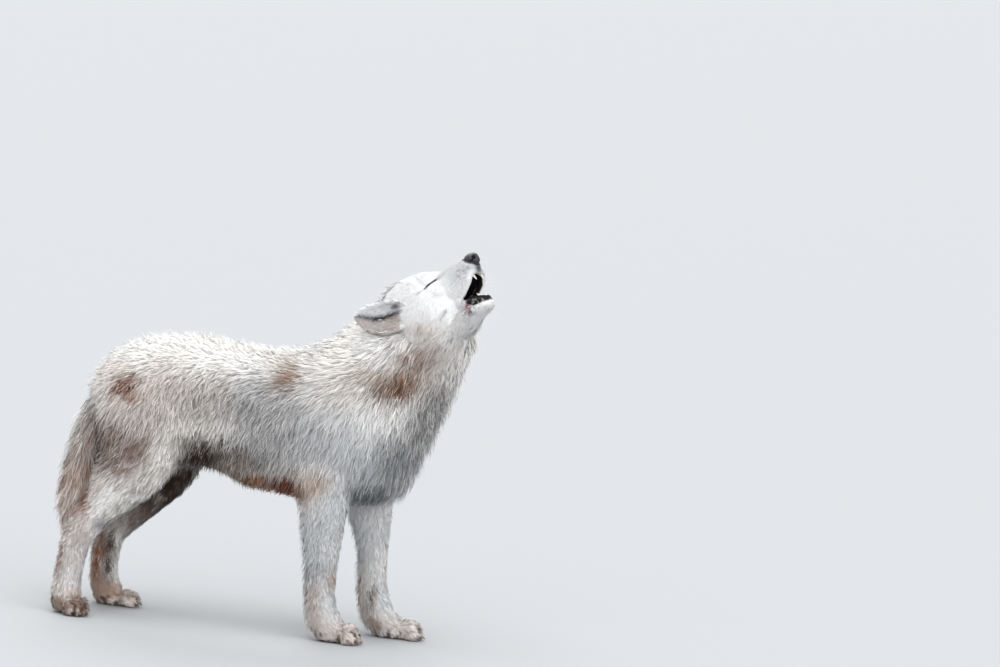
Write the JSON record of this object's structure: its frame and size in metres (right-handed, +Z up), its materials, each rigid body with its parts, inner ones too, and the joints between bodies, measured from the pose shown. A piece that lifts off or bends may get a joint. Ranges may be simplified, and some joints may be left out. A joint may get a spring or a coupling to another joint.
{
  "type": "howling arctic wolf, life-size still model",
  "caption": "Life-size still model of a standing arctic wolf, head thrown back in a howl, ears laid back, thick white winter coat and hanging bushy tail.",
  "frame": {"origin": "on the floor, under the middle of the model's bounding box", "axes": "+X the way the wolf faces, +Y its left, +Z up"},
  "size_m": [1.0278, 0.3172, 1.0083],
  "materials": {
    "coat": "matt white and cream fur, shaded tan on the neck, flank and thigh",
    "mouth": "moist, dark red",
    "nose": "finely grained, slightly moist, black",
    "eye": "polished, dark amber brown"
  },
  "bodies": {
    "root": {"head": "coat", "lower_jaw": "coat", "tongue": "mouth", "nose": "nose", "eye_right": "eye", "ear_right": "coat", "eye_left": "eye", "ear_left": "coat", "foreleg_right": "coat", "thigh_right": "coat", "shank_right": "coat", "forepaw_right": "coat", "hindpaw_right": "coat", "foreleg_left": "coat", "thigh_left": "coat", "shank_left": "coat", "forepaw_left": "coat", "hindpaw_left": "coat", "torso": "coat", "neck": "coat", "tail": "coat"}
  },
  "joints": []
}
